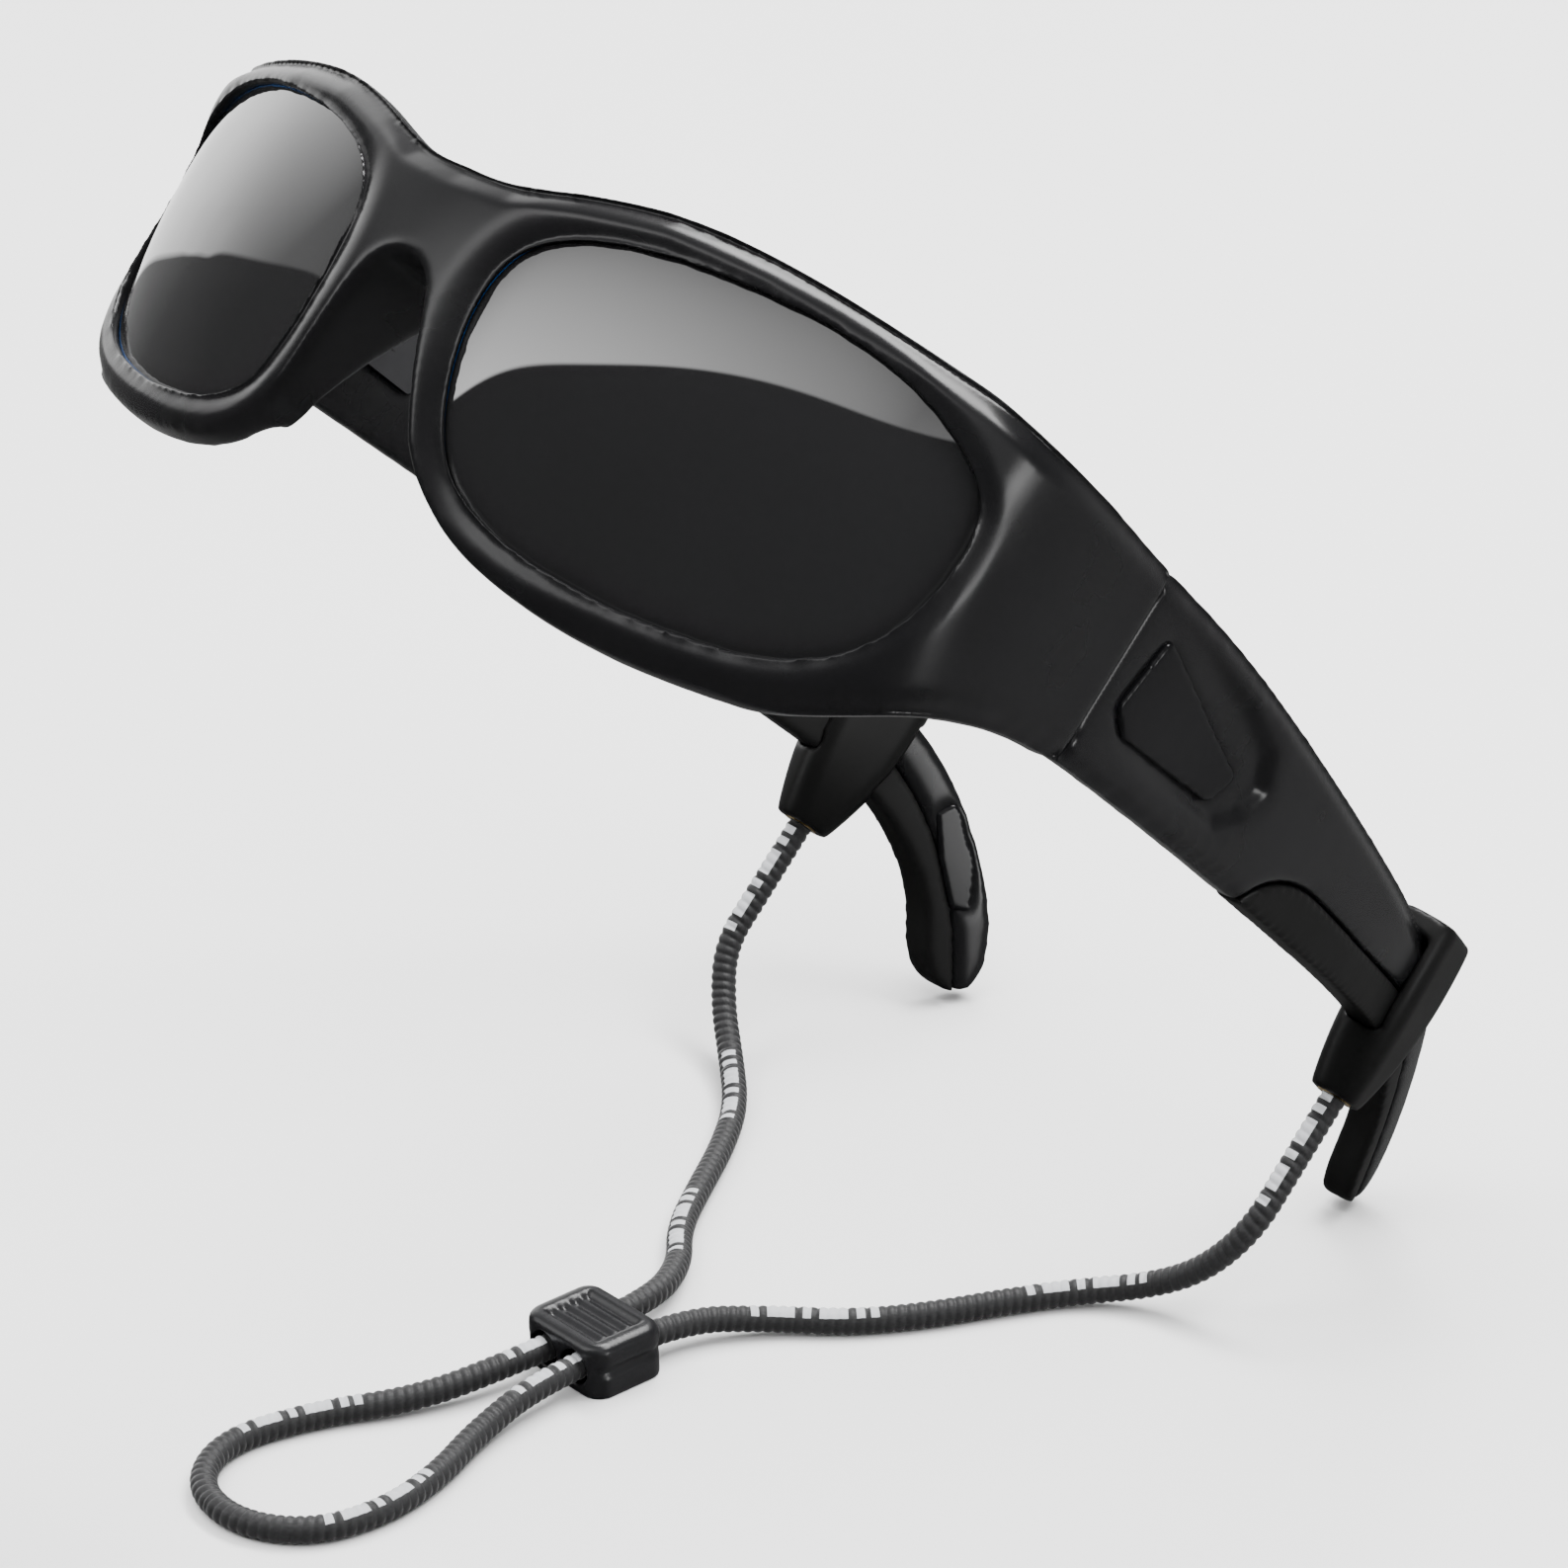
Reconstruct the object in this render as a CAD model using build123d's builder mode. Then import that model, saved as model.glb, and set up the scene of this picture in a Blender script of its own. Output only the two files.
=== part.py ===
from build123d import *
import os
from math import cos, hypot, pi, radians, sin, tan

# Wraparound sport sunglasses on a retention cord, in millimetres.
#
# Every piece is first drawn in the worn frame: X towards the wearer's left, Y backwards and
# Z up, with zero at the front of the nose bridge. It is then leaned back into the stored
# frame, whose origin is the nose saddle and whose cord lies on a level surface below it.

# ---- Driving dimensions -----------------------------------------------------------------

LEAN = 45.0  # how far the glasses lean back, nose up, degrees
SADDLE = (0.0, 7.0, -7.0)  # worn place of the nose saddle, the stored origin
FLOOR_Z = -128.5  # stored height of the surface that the cord lies on

RIM_DEPTH = 4.6  # front to back of the moulded front
LENS_RECESS = 1.6  # how far the lens face lies behind the rim
LENS_THICKNESS = 2.0
LENS_GRIP = 0.8  # how far the rim's groove holds the lens edge
LENS_YAW = 20.0  # how far each lens faces sideways, degrees
FRONT_BOW = 0.008  # how fast the front curves back above and below its middle, per mm

SEAM_Y = 52.0  # worn place of the parting line between front and temple
SEAM_GAP = 0.3
TEMPLE_DEPTH = 4.4  # thickness of the temple arm
GRIP_DEPTH = 3.6  # thickness of the arm where the soft parts lie over it

HINGE_X = 56.6
HINGE_Z = -3.0
KNUCKLE_R = 2.2
KNUCKLE_H = 3.4
KNUCKLE_GAP = 0.15
SCREW_R = 0.8
SCREW_CLEARANCE = 0.05
SCREW_HEAD_R = 1.5
SCREW_HEAD_H = 0.9

SLEEVE_Y = 141.5  # worn place of the cord sleeve along the temple
SLEEVE_TOP = 1.3
SLEEVE_BOTTOM = -20.9
CORD_R = 1.5
LEAD_END = -30.8  # worn height where the lead on the temple meets the free strand
DROP = 7.0  # how far the strand goes on in the lead's direction
FERRULE_R = 2.1
FERRULE_H = 7.0

SLIDER_AT = (3.6, 13.5)  # stored place of the slider's middle
SLIDER_SIZE = (13.0, 10.0, 6.4)
SLIDER_BORE_X = 2.6  # each bore's distance from the slider's middle
SLIDER_BORE_R = CORD_R + 0.25

# Plan of the front's outer face from the bridge to the hinge, on the wearer's left.
FRONT_PLAN = [(12, 0.8), (27, 3.8), (45, 10.4), (57, 16.9), (63.4, 22.8), (65.8, 32), (64.9, 46), (64.2, 57)]
# Plan of the temple's outer face from the hinge to the tip.
TEMPLE_PLAN = [(64.2, 46), (63.2, 65), (60.7, 85), (57.0, 105), (52.3, 125), (46.5, 142), (40.0, 157), (33.9, 171)]

# Outlines of the left half of the front, seen from the front.
BROW_LINE = [(0, 5.8), (8, 6.3), (16, 8.5), (26, 10.7), (38, 11.4), (50, 10.9), (60, 10.2), (74, 9.9)]
NOSE_LINE = [(0, -5), (3.2, -6.2), (4.8, -8.6), (6.4, -12.7), (8.4, -18), (10.8, -22.6)]
CHEEK_LINE = [(14, -25.4), (18.5, -27.9), (26, -29.7), (36, -30.1), (46, -28.9), (56, -26.8), (74, -25.5)]
# Plan of the left half of the nose band, from its front edge inside the bridge to its back edge.
NOSE_BAND_PLAN = [(0, 2.4), (18, 8.5), (18, 17.9), (0, 11.8)]
# Outline of the lens, seen square to its own face.
LENS_TOP = [(10.7, -2.9), (12.4, 0.7), (16.4, 3.7), (23.2, 6.1), (34.0, 7.8), (45.6, 8.4), (56.2, 7.3), (63.8, 4.3), (68.0, 0.6)]
LENS_END = [(69.0, -4.1), (68.3, -10.4), (66.3, -15.8), (62.7, -20.1), (57.0, -23.5)]
LENS_FOOT = [(49.2, -25.5), (40.4, -26.6), (29.8, -26.6), (22.5, -25.4), (17.3, -22.9), (13.6, -18.3), (11.1, -11.6)]
# Upper and lower edges of the wrapping end pieces, seen from the corner at 45 degrees.
CORNER_TOP = [(50, 11.9), (57, 10.3), (65, 9.2), (74, 8.4), (90, 7.2)]
CORNER_FOOT = [(50, -28.9), (56, -26.6), (62.5, -22.8), (69.5, -18.5), (75, -16.3), (82, -15), (90, -14)]

# Side outlines of the temple, from the front end to the tip.
ARM_TOP = [(52, 7.4), (66, 6.8), (84, 5.1), (106, 2.6), (126, 0.2), (140, -1.9), (151, -5.5), (160, -12), (167, -21.3)]
ARM_TIP = [(167.6, -24.9), (166, -27.6), (163, -27.5)]
ARM_FOOT = [(158.6, -22.3), (152.6, -16.7), (145, -13.6), (135, -12.7), (114, -12.9), (88, -13.5), (66, -14.1), (52, -14.6)]
GRIP_LINE = [(92, -15.5), (95, -10.8), (101, -8), (112, -7.4), (132, -7.6), (145.5, -8.9), (154.5, -13.8), (161.5, -21), (167, -30.3)]
POCKET_LINE = [(52, 5.6), (64, 5.1), (76, 3.7), (84, 1.4), (87, -2.7), (85.4, -7), (81, -10), (66, -10.7), (52, -11.6)]
BADGE_LINE = [(57.5, 2.4), (55.8, -6.5), (59.0, -8.5), (79.0, -7.6), (81.6, -3.5)]
PAD_LINE = [(68, 2.8), (66.4, -3.5), (69, -10), (90, -10), (112, -4.8), (126, -4.5), (126, -2.3), (102, 0.5)]
INLAY_LINE = [(154, -8.4), (152.6, -10.9), (155.8, -15.2), (160, -19.4), (162.2, -18.5), (159.8, -13.6)]

# Free cord, in the stored frame; every point is a corner that the route rounds off.
CORD_LIE = FLOOR_Z + CORD_R
STRAND_LEFT_ROUTE = [
    (41.0, 69.8, -122.2),
    (35.4, 66.8, -125.6),
    (29.4, 61.6, CORD_LIE + 0.1),
    (25.4, 54.2, CORD_LIE),
    (22.0, 46.2, CORD_LIE),
    (17.4, 38.6, CORD_LIE),
    (11.2, 32.3, CORD_LIE + 0.3),
]
STRAND_RIGHT_ROUTE = [
    (-41.6, 70.2, -122.4),
    (-36.0, 66.6, -125.8),
    (-28.4, 61.0, CORD_LIE),
    (-21.8, 53.2, CORD_LIE),
    (-16.4, 45.2, CORD_LIE),
    (-10.9, 37.6, CORD_LIE),
    (-4.2, 32.2, CORD_LIE + 0.3),
]
LOOP_ROUTE = [
    (-1.6, -7.0, CORD_LIE + 0.3),
    (-7.0, -17.0, CORD_LIE),
    (-9.0, -27.6, CORD_LIE),
    (-3.9, -34.9, CORD_LIE),
    (4.8, -36.2, CORD_LIE),
    (11.9, -31.4, CORD_LIE),
    (13.6, -22.7, CORD_LIE),
    (11.6, -14.2, CORD_LIE),
    (8.2, -6.6, CORD_LIE + 0.3),
]

FAR = 100.0  # a length beyond every piece, for cutting prisms


# ---- Placing ----------------------------------------------------------------------------


def stored(piece):
    """Lean a piece drawn in the worn frame into the stored frame."""
    return Rot(X=-LEAN) * Pos(-SADDLE[0], -SADDLE[1], -SADDLE[2]) * piece


def stored_point(x, y, z):
    """The stored place of a worn point."""
    lean = radians(LEAN)
    back = y - SADDLE[1]
    up = z - SADDLE[2]
    return (x - SADDLE[0], back * cos(lean) + up * sin(lean), up * cos(lean) - back * sin(lean))


def write(piece, name):
    """Label a finished piece and write it as one STEP file."""
    piece.label = name
    export_step(piece, f"parts/{name}.step")


def write_pair(piece, name):
    """Write a piece of the wearer's left side, and its mirror image for the right."""
    write(stored(piece), f"{name}_left")
    write(stored(mirror(piece, about=Plane.YZ)), f"{name}_right")


# ---- Curved walls -----------------------------------------------------------------------


def both_sides(half, middle):
    """A full plan through the middle point from its left half."""
    return [(-x, y) for x, y in reversed(half)] + [middle] + list(half)


def inset(plan, depth):
    """Move a plan curve's points square to it, towards the wearer."""
    moved = []
    for i, (x, y) in enumerate(plan):
        before = plan[max(i - 1, 0)]
        after = plan[min(i + 1, len(plan) - 1)]
        run_x = after[0] - before[0]
        run_y = after[1] - before[1]
        run = hypot(run_x, run_y)
        moved.append((x - depth * run_y / run, y + depth * run_x / run))
    return moved


def wall_section(plan, near, far, z, bow):
    """The wall between two depths under a plan curve, at one height."""
    with BuildSketch(Plane((0, bow * z * z, z))) as section:
        with BuildLine():
            outer = Spline(*inset(plan, near))
            inner = Spline(*inset(plan, far))
            Line(outer @ 0, inner @ 0)
            Line(outer @ 1, inner @ 1)
        make_face()
    return section.sketch.face()


def front_wall(plan, near, far):
    """A bowed wall that follows the front, taller than any outline cut from it."""
    sections = [wall_section(plan, near, far, z, FRONT_BOW) for z in (-36, -18, 0, 18)]
    with BuildPart() as wall:
        loft(sections)
    return wall.part


def temple_slice(near, far, outline):
    """The temple between two depths under its outer face, cut to a side outline."""
    with BuildPart() as piece:
        extrude(wall_section(TEMPLE_PLAN, near, far, 0, 0), amount=FAR / 2, both=True)
        extrude(outline, amount=FAR, mode=Mode.INTERSECT)
    return piece.part


def smooth_outline(plane, *lines):
    """A face bounded by one smooth line, or by several that meet in corners."""
    with BuildSketch(plane) as outline:
        with BuildLine():
            for line in lines:
                if len(line) > 2:
                    Spline(*line)
                else:
                    Line(*line)
        make_face()
    return outline.sketch


def corner_outline(plane, points, radius):
    """A straight-sided outline with rounded corners."""
    with BuildSketch(plane) as outline:
        with BuildLine():
            Polyline(*points, close=True)
        make_face()
        fillet(outline.vertices(), radius)
    return outline.sketch


# ---- Front frame and lenses -------------------------------------------------------------

FRONT_FULL = both_sides(FRONT_PLAN, (0, 0))
LENS_PLANE = Plane((0, 0, 0), x_dir=(cos(radians(LENS_YAW)), sin(radians(LENS_YAW)), 0),
                   z_dir=(sin(radians(LENS_YAW)), -cos(radians(LENS_YAW)), 0))
CORNER_PLANE = Plane((0, 0, 0), x_dir=(cos(pi / 4), sin(pi / 4), 0), z_dir=(sin(pi / 4), -cos(pi / 4), 0))


def lens_outline(margin=0.0):
    """The lens edge, square to the lens, or a ring that far inside it."""
    ring = LENS_TOP + LENS_END + LENS_FOOT
    moved = []
    for i, (u, z) in enumerate(ring):
        before = ring[i - 1]
        after = ring[(i + 1) % len(ring)]
        run_u = after[0] - before[0]
        run_z = after[1] - before[1]
        run = hypot(run_u, run_z)
        moved.append((u + margin * run_z / run, z - margin * run_u / run))
    with BuildSketch(LENS_PLANE) as outline:
        with BuildLine():
            Spline(*moved, periodic=True)
        make_face()
    return outline.sketch


def make_lens():
    """One lens: a thin bowed wall cut to the lens outline."""
    plan = FRONT_FULL
    with BuildPart() as lens:
        add(front_wall(plan, LENS_RECESS, LENS_RECESS + LENS_THICKNESS))
        extrude(lens_outline(), amount=FAR, both=True, mode=Mode.INTERSECT)
    return lens.part


def mirrored_outline(*lines):
    """A face from its left half's lines, seen from the front, and their mirror image."""
    with BuildSketch(Plane.XZ) as outline:
        with BuildLine():
            for line in lines:
                Spline(*line) if len(line) > 2 else Line(*line)
            mirror(about=Plane.YZ)
        make_face()
    return outline.sketch


def front_outline():
    """The front's outline, from the brow round to the nose."""
    foot = NOSE_LINE + CHEEK_LINE
    return mirrored_outline(BROW_LINE, (BROW_LINE[-1], foot[-1]), foot)


def corner_waste(line, limit):
    """What is trimmed from the left end piece beyond its upper or lower edge."""
    first = (line[0][0], limit)
    last = (line[-1][0], limit)
    return smooth_outline(CORNER_PLANE, line, (line[-1], last), (last, first), (first, line[0]))


def nose_band_outline():
    """The outer outline of the band that lies on the nose; the front's outline opens its inside."""
    flank = [(x + 2.7, z + 0.6) for x, z in NOSE_LINE[1:] + CHEEK_LINE[:1]]
    outer = [(0, NOSE_LINE[0][1] + 3.2)] + flank
    return mirrored_outline(outer, (outer[-1], (0, outer[-1][1])))


def make_front(lens, leaf):
    """The one-piece moulded front with its end pieces and nose flanks."""
    with BuildPart() as waste:
        extrude(corner_waste(CORNER_TOP, 30), amount=FAR, both=True)
        extrude(corner_waste(CORNER_FOOT, -50), amount=FAR, both=True)
    with BuildPart() as opening:
        extrude(lens_outline(LENS_GRIP), amount=FAR, both=True)
    with BuildPart() as front:
        add(front_wall(FRONT_FULL, 0, RIM_DEPTH))
        add(make_nose_band())
        extrude(front_outline(), amount=FAR, both=True, mode=Mode.INTERSECT)
        split(bisect_by=Plane.XZ.offset(-SEAM_Y + SEAM_GAP / 2), keep=Keep.TOP)
        for cut in (waste.part, opening.part, lens, leaf):
            add(cut, mode=Mode.SUBTRACT)
            add(mirror(cut, about=Plane.YZ), mode=Mode.SUBTRACT)
    return front.part


def make_nose_band():
    """The band that bears on the nose, behind the bridge and the lenses' inner ends."""
    with BuildPart() as band:
        extrude(nose_band_outline(), amount=FAR, both=True)
        with BuildSketch():
            with BuildLine():
                Polyline(NOSE_BAND_PLAN + [(-x, y) for x, y in reversed(NOSE_BAND_PLAN[1:-1])], close=True)
            make_face()
        extrude(amount=FAR, both=True, mode=Mode.INTERSECT)
    return band.part


# ---- Hinges -----------------------------------------------------------------------------

MIDDLE_LOW = HINGE_Z - KNUCKLE_H / 2
MIDDLE_HIGH = HINGE_Z + KNUCKLE_H / 2
LEAF_X = 60.6  # worn place of the leaves' outer side, let into the end piece and the temple
LEAF_THICKNESS = 1.8
HOLE_R = SCREW_R + SCREW_CLEARANCE


def make_front_leaf():
    """The fixed leaf: a plate in the end piece with two knuckles."""
    low = MIDDLE_LOW - KNUCKLE_GAP - KNUCKLE_H
    high = MIDDLE_HIGH + KNUCKLE_GAP
    with BuildPart() as leaf:
        for foot in (low, high):
            with BuildSketch(Plane.XY.offset(foot)):
                with Locations((HINGE_X, SEAM_Y)):
                    Circle(KNUCKLE_R)
                with Locations(((HINGE_X + LEAF_X) / 2, SEAM_Y - 2.6)):
                    Rectangle(LEAF_X - HINGE_X, 4.4)
            extrude(amount=KNUCKLE_H)
        with BuildSketch(Plane.XY.offset(low)):
            with Locations((LEAF_X - LEAF_THICKNESS / 2, SEAM_Y - 8.0)):
                Rectangle(LEAF_THICKNESS, 10.0)
        extrude(amount=high + KNUCKLE_H - low)
        with BuildSketch(Plane.XY.offset(low)):
            with Locations((HINGE_X, SEAM_Y)):
                Circle(SCREW_R)
        extrude(amount=high + KNUCKLE_H - low, mode=Mode.SUBTRACT)
        with BuildSketch(Plane.XY.offset(high + KNUCKLE_H - SCREW_HEAD_H)):
            with Locations((HINGE_X, SEAM_Y)):
                Circle(SCREW_HEAD_R)
        extrude(amount=SCREW_HEAD_H, mode=Mode.SUBTRACT)
        fillet(leaf.edges().filter_by(Axis.X).group_by(Axis.Y)[0], 0.8)
    return leaf.part


def make_temple_leaf():
    """The moving leaf: a plate in the temple with the middle knuckle."""
    low = MIDDLE_LOW
    with BuildPart() as leaf:
        with BuildSketch(Plane.XY.offset(low)):
            with Locations((HINGE_X, SEAM_Y)):
                Circle(KNUCKLE_R)
            with Locations(((HINGE_X + LEAF_X) / 2, SEAM_Y + 3.1)):
                Rectangle(LEAF_X - HINGE_X, 5.4)
        extrude(amount=KNUCKLE_H)
        with BuildSketch(Plane.XY.offset(low - 2.6)):
            with Locations((LEAF_X - LEAF_THICKNESS / 2, SEAM_Y + 8.6)):
                Rectangle(LEAF_THICKNESS, 9.0)
        extrude(amount=KNUCKLE_H + 5.2)
        with BuildSketch(Plane.XY.offset(low)):
            with Locations((HINGE_X, SEAM_Y)):
                Circle(HOLE_R)
        extrude(amount=KNUCKLE_H, mode=Mode.SUBTRACT)
        fillet(leaf.edges().filter_by(Axis.X).group_by(Axis.Y)[-1], 0.8)
    return leaf.part


def make_screw():
    """The hinge screw: a plain shank with a slotted flat head."""
    low = MIDDLE_LOW - KNUCKLE_GAP - KNUCKLE_H
    top = MIDDLE_HIGH + KNUCKLE_GAP + KNUCKLE_H
    with BuildPart() as screw:
        with BuildSketch(Plane.XY.offset(low)):
            with Locations((HINGE_X, SEAM_Y)):
                Circle(SCREW_R)
        extrude(amount=top - low - SCREW_HEAD_H)
        with BuildSketch(Plane.XY.offset(top - SCREW_HEAD_H)):
            with Locations((HINGE_X, SEAM_Y)):
                Circle(SCREW_HEAD_R)
        extrude(amount=SCREW_HEAD_H)
        with BuildSketch(Plane.XY.offset(top)):
            with Locations((HINGE_X, SEAM_Y)):
                Rectangle(2 * SCREW_HEAD_R, 0.5)
        extrude(amount=-0.4, mode=Mode.SUBTRACT)
    return screw.part


# ---- Temples ----------------------------------------------------------------------------


def arm_outline():
    """The temple's side outline, from the seam round to the tip."""
    front = (ARM_FOOT[-1], ARM_TOP[0])
    return smooth_outline(Plane.YZ, ARM_TOP + ARM_TIP + ARM_FOOT, front)


def grip_outline():
    """The region behind and below the soft grip's edge."""
    last = (GRIP_LINE[-1][0], -40)
    first = (GRIP_LINE[0][0], -40)
    return smooth_outline(Plane.YZ, GRIP_LINE, (GRIP_LINE[-1], last), (last, first), (first, GRIP_LINE[0]))


def make_arm(badge, grip, pad, inlay, leaf):
    """The hard temple arm, with seats for everything fixed to it."""
    with BuildPart() as pocket:
        add(temple_slice(-1.0, 0.5, smooth_outline(Plane.YZ, POCKET_LINE, (POCKET_LINE[-1], POCKET_LINE[0]))))
    with BuildPart() as arm:
        add(temple_slice(0, TEMPLE_DEPTH, arm_outline()))
        split(bisect_by=Plane.XZ.offset(-SEAM_Y - SEAM_GAP / 2), keep=Keep.BOTTOM)
        add(pocket.part, mode=Mode.SUBTRACT)
        for fitted in (badge, grip, pad, inlay, leaf):
            add(fitted, mode=Mode.SUBTRACT)
    return arm.part


def make_badge():
    """The flat trapezoid badge in the temple's pocket, left blank."""
    return temple_slice(0.2, 1.3, corner_outline(Plane.YZ, BADGE_LINE, 0.9))


def make_grip(inlay):
    """The soft grip moulded under and behind the arm."""
    with BuildPart() as grip:
        add(temple_slice(0, TEMPLE_DEPTH, arm_outline()))
        extrude(grip_outline(), amount=FAR, mode=Mode.INTERSECT)
        add(inlay, mode=Mode.SUBTRACT)
    return grip.part


def make_pad():
    """The soft pad let into the temple's inner side."""
    return temple_slice(GRIP_DEPTH, TEMPLE_DEPTH + 0.6, corner_outline(Plane.YZ, PAD_LINE, 0.8))


def make_inlay():
    """The small glossy inlay on the inner side of the tip."""
    return temple_slice(TEMPLE_DEPTH - 0.7, TEMPLE_DEPTH + 0.1, corner_outline(Plane.YZ, INLAY_LINE, 0.7))


# ---- Cord ends on the temples -----------------------------------------------------------

SLEEVE_X = 44.7  # middle of the temple's thickness where the sleeve sits
TEMPLE_SPLAY = 21.0  # the temple's turn towards the head at the sleeve, degrees
SLEEVE_DIR = (-sin(radians(TEMPLE_SPLAY)), cos(radians(TEMPLE_SPLAY)), 0)


def sleeve_plane(z):
    """A level plane at the sleeve, with its X along the temple."""
    return Plane((SLEEVE_X, SLEEVE_Y, z), x_dir=SLEEVE_DIR, z_dir=(0, 0, 1))


def rounded(plane, long, wide, radius):
    """A rounded rectangle face."""
    with BuildSketch(plane) as section:
        RectangleRounded(long, wide, radius)
    return section.sketch.face()


def make_sleeve(arm, grip, ferrule):
    """The rubber sleeve that the temple passes through, with the cord in its lower end."""
    with BuildPart() as sleeve:
        loft([
            rounded(sleeve_plane(SLEEVE_BOTTOM), 6.4, 5.6, 2.4),
            rounded(sleeve_plane(SLEEVE_BOTTOM + 5), 9.4, 7.0, 2.6),
            rounded(sleeve_plane(SLEEVE_TOP - 8), 12.4, 7.6, 2.6),
            rounded(sleeve_plane(SLEEVE_TOP), 11.4, 7.0, 2.6),
        ])
        add(arm, mode=Mode.SUBTRACT)
        add(grip, mode=Mode.SUBTRACT)
        with BuildSketch(sleeve_plane(SLEEVE_BOTTOM)):
            Circle(FERRULE_R)
        extrude(amount=FERRULE_H, mode=Mode.SUBTRACT)
    return sleeve.part


def make_ferrule():
    """The crimped ring that holds the cord in the sleeve."""
    with BuildPart() as ferrule:
        with BuildSketch(sleeve_plane(SLEEVE_BOTTOM)):
            Circle(FERRULE_R)
            Circle(CORD_R, mode=Mode.SUBTRACT)
        extrude(amount=FERRULE_H)
    return ferrule.part


def make_lead():
    """The cord's end, from inside the ferrule to just below the temple's tip."""
    with BuildPart() as lead:
        with BuildSketch(Plane((SLEEVE_X, SLEEVE_Y, LEAD_END))):
            Circle(CORD_R)
        extrude(amount=SLEEVE_BOTTOM + FERRULE_H - LEAD_END)
    return lead.part


# ---- Free cord and slider ---------------------------------------------------------------


def corner_radii(points):
    """The largest arc that each corner's two runs allow."""
    corners = [Vector(*point) for point in points]
    radii = []
    for before, here, after in zip(corners, corners[1:], corners[2:]):
        arriving = here - before
        leaving = after - here
        half_turn = radians(arriving.get_angle(leaving)) / 2
        radii.append(0.45 * min(arriving.length, leaving.length) / tan(half_turn))
    return radii


def make_cord(points, name):
    """A plain tube along straight runs joined by tangent arcs."""
    radii = corner_radii(points)
    with BuildPart() as cord:
        with BuildLine() as route:
            FilletPolyline(*points, radius=radii)
        with BuildSketch(Plane(route.wire() @ 0, z_dir=route.wire() % 0)):
            Circle(CORD_R)
        sweep()
    length = route.wire().length
    share = cord.part.volume / (pi * CORD_R**2 * length)
    print(name, "length", round(length, 1), "volume share", round(share, 4), "radii", [round(r, 1) for r in radii])
    return cord.part


def make_slider():
    """The pinch block that both strands run through."""
    middle = Plane((SLIDER_AT[0], SLIDER_AT[1], FLOOR_Z))
    with BuildPart() as slider:
        with BuildSketch(middle):
            RectangleRounded(SLIDER_SIZE[0], SLIDER_SIZE[1], 2.2)
        extrude(amount=SLIDER_SIZE[2])
        fillet(slider.faces().sort_by(Axis.Z)[-1].edges(), 1.2)
        with BuildSketch(Plane((SLIDER_AT[0], SLIDER_AT[1], SLIDER_BORE_Z), x_dir=(1, 0, 0), z_dir=(0, -1, 0))):
            with Locations((-SLIDER_BORE_X, 0), (SLIDER_BORE_X, 0)):
                Circle(SLIDER_BORE_R)
        extrude(amount=SLIDER_SIZE[1], both=True, mode=Mode.SUBTRACT)
    return slider.part


SLIDER_BORE_Z = FLOOR_Z + 3.0
SLIDE_RUN = 10.0  # straight cord each side of the slider's middle
LEFT_BORE = SLIDER_AT[0] + SLIDER_BORE_X
RIGHT_BORE = SLIDER_AT[0] - SLIDER_BORE_X
BACK_Y = SLIDER_AT[1] + SLIDE_RUN
FRONT_Y = SLIDER_AT[1] - SLIDE_RUN


def strand_points(side, route, bore_x):
    """A strand's whole route, from the end of its lead to the slider's back."""
    start = stored_point(side * SLEEVE_X, SLEEVE_Y, LEAD_END)
    first_corner = stored_point(side * SLEEVE_X, SLEEVE_Y, LEAD_END - DROP)
    return [start, first_corner] + route + [(bore_x, BACK_Y, SLIDER_BORE_Z), (bore_x, SLIDER_AT[1], SLIDER_BORE_Z)]


def loop_points():
    """The loop's whole route, out of one bore and back into the other."""
    out = [(RIGHT_BORE, SLIDER_AT[1], SLIDER_BORE_Z), (RIGHT_BORE, FRONT_Y, SLIDER_BORE_Z)]
    back = [(LEFT_BORE, FRONT_Y, SLIDER_BORE_Z), (LEFT_BORE, SLIDER_AT[1], SLIDER_BORE_Z)]
    return out + LOOP_ROUTE + back


# ---- Everything -------------------------------------------------------------------------

os.makedirs("parts", exist_ok=True)

lens = make_lens()
front_leaf = make_front_leaf()
temple_leaf = make_temple_leaf()
screw = make_screw()
front = make_front(lens, front_leaf)
write(stored(front), "front_frame")
write_pair(lens, "lens")
write_pair(front_leaf, "hinge_front_leaf")
write_pair(temple_leaf, "hinge_temple_leaf")
write_pair(screw, "hinge_screw")

badge = make_badge()
inlay = make_inlay()
pad = make_pad()
grip = make_grip(inlay)
arm = make_arm(badge, grip, pad, inlay, temple_leaf)
ferrule = make_ferrule()
sleeve = make_sleeve(arm, grip, ferrule)
write_pair(arm, "temple_arm")
write_pair(badge, "temple_badge")
write_pair(grip, "temple_grip")
write_pair(pad, "temple_pad")
write_pair(inlay, "tip_inlay")
write_pair(sleeve, "cord_sleeve")
write_pair(ferrule, "cord_ferrule")
write_pair(make_lead(), "cord_lead")

write(make_slider(), "cord_slider")
write(make_cord(strand_points(1, STRAND_LEFT_ROUTE, LEFT_BORE), "strand left"), "cord_strand_left")
write(make_cord(strand_points(-1, STRAND_RIGHT_ROUTE, RIGHT_BORE), "strand right"), "cord_strand_right")
write(make_cord(loop_points(), "loop"), "cord_loop")
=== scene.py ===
from math import cos, pi, radians, sin

import bpy
import numpy as np
from mathutils import Matrix, Vector
from mathutils.bvhtree import BVHTree


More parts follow.
